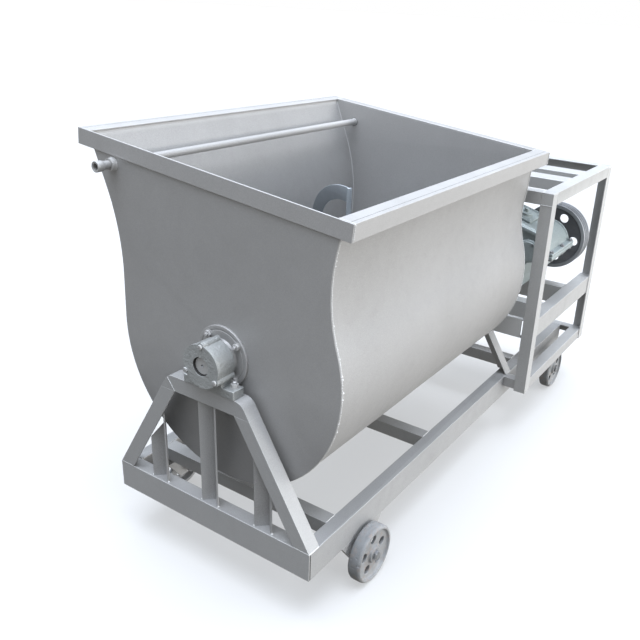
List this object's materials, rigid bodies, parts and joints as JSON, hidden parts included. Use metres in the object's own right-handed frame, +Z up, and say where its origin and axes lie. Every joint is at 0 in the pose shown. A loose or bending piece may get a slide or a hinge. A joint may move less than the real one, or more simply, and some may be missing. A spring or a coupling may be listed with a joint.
{
  "type": "substrate mixer",
  "caption": "Tipping-trough substrate mixer on a wheeled angle-iron frame, with a helical ribbon rotor driven by a gear reducer and a grooved belt pulley",
  "frame": {"origin": "bottom centre of the bounding box, on the floor under the wheels", "axes": "+X from the near bearing towards the drive end, +Y towards the trough's high side, +Z up"},
  "size_m": [2.239, 1.0454, 1.3622],
  "materials": {
    "frame_paint": "silver-grey semi-gloss enamel over angle iron, thin grime in the corners",
    "trough_paint": "silver-grey semi-gloss enamel over rolled sheet, faint rolling waves",
    "rotor_steel": "blue-grey primer, rubbed at the edges",
    "machined_steel": "turned steel, lightly oiled",
    "zinc_fasteners": "zinc-plated steel, dull",
    "wheel_iron": "grey cast iron, dusty with a little rust",
    "gearbox_paint": "grey-green paint over cast iron, fine casting texture",
    "pulley_iron": "dark grey cast iron, machined grooves"
  },
  "bodies": {
    "frame": {"base_beam_right": "frame_paint", "base_beam_left": "frame_paint", "base_crossbar_near": "frame_paint", "base_cross_angles": "frame_paint", "near_a_frame_legs": "frame_paint", "near_a_frame_bar": "frame_paint", "near_a_frame_posts": "frame_paint", "far_a_frame_legs": "frame_paint", "far_a_frame_bar": "frame_paint", "motor_frame_posts": "frame_paint", "motor_frame_bottom_rails": "frame_paint", "motor_frame_top_side_rails": "frame_paint", "motor_frame_top_cross_rails": "frame_paint", "motor_frame_mid_rails": "frame_paint", "gearbox_bed_channels": "frame_paint", "wheel_brackets": "frame_paint", "wheel_axles": "machined_steel", "wheel_axle_nuts": "zinc_fasteners", "near_bearing_housing": "frame_paint", "near_bearing_cap": "frame_paint", "near_bearing_cap_bolts": "zinc_fasteners", "near_bearing_ring": "machined_steel", "near_bearing_foot_bolts": "zinc_fasteners", "far_bearing_housing": "frame_paint", "far_bearing_ring": "machined_steel", "far_bearing_foot_bolts": "zinc_fasteners", "gearbox_case": "gearbox_paint", "gearbox_cover": "gearbox_paint", "gearbox_bolts": "zinc_fasteners", "gearbox_bearing_caps": "gearbox_paint", "gearbox_bearings": "machined_steel", "inspection_cover": "gearbox_paint", "gearbox_foot_bolts": "zinc_fasteners"},
    "trough": {"trough_sheet": "trough_paint", "near_end_plate": "trough_paint", "far_end_plate": "trough_paint", "rim_left": "trough_paint", "rim_right": "trough_paint", "rim_near": "trough_paint", "rim_far": "trough_paint", "spray_pipe": "trough_paint", "near_gland_flange": "trough_paint", "far_gland_flange": "trough_paint", "gland_bolts": "zinc_fasteners"},
    "rotor": {"main_shaft": "machined_steel", "rotor_arms": "rotor_steel", "ribbons": "rotor_steel", "shaft_coupling": "pulley_iron", "output_shaft": "machined_steel", "output_gear": "machined_steel"},
    "intermediate": {"intermediate_shaft": "machined_steel", "intermediate_gear": "machined_steel"},
    "input": {"input_shaft": "machined_steel", "drive_pulley": "pulley_iron", "pulley_nut": "zinc_fasteners"},
    "wheel_nr": {"wheel_near_right": "wheel_iron"},
    "wheel_nl": {"wheel_near_left": "wheel_iron"},
    "wheel_fr": {"wheel_far_right": "wheel_iron"},
    "wheel_fl": {"wheel_far_left": "wheel_iron"}
  },
  "joints": [
    {"name": "trough_tip", "type": "hinge", "parent": "frame", "child": "trough", "pos_m": [-0.3835, -0.04472, 0.77], "axis": [1, 0, 0], "range_deg": [-6.2, 80]},
    {"name": "rotor_spin", "type": "hinge", "parent": "frame", "child": "rotor", "pos_m": [-0.3835, -0.04472, 0.77], "axis": [1, 0, 0], "continuous": true},
    {"name": "intermediate_spin", "type": "hinge", "parent": "frame", "child": "intermediate", "pos_m": [0.7085, -0.22672, 0.77], "axis": [1, 0, 0], "continuous": true},
    {"name": "input_spin", "type": "hinge", "parent": "frame", "child": "input", "pos_m": [0.7085, -0.36472, 0.77], "axis": [1, 0, 0], "continuous": true},
    {"name": "wheel_nr_spin", "type": "hinge", "parent": "frame", "child": "wheel_nr", "pos_m": [-0.7935, -0.45272, 0.098], "axis": [0, 1, 0], "continuous": true},
    {"name": "wheel_nl_spin", "type": "hinge", "parent": "frame", "child": "wheel_nl", "pos_m": [-0.7935, 0.41128, 0.098], "axis": [0, 1, 0], "continuous": true},
    {"name": "wheel_fr_spin", "type": "hinge", "parent": "frame", "child": "wheel_fr", "pos_m": [0.9055, -0.45272, 0.098], "axis": [0, 1, 0], "continuous": true},
    {"name": "wheel_fl_spin", "type": "hinge", "parent": "frame", "child": "wheel_fl", "pos_m": [0.9055, 0.41128, 0.098], "axis": [0, 1, 0], "continuous": true}
  ],
  "couplings": [
    {"joint": "intermediate_spin", "follows": "rotor_spin", "ratio": -4.3529},
    {"joint": "input_spin", "follows": "rotor_spin", "ratio": 19.204}
  ]
}
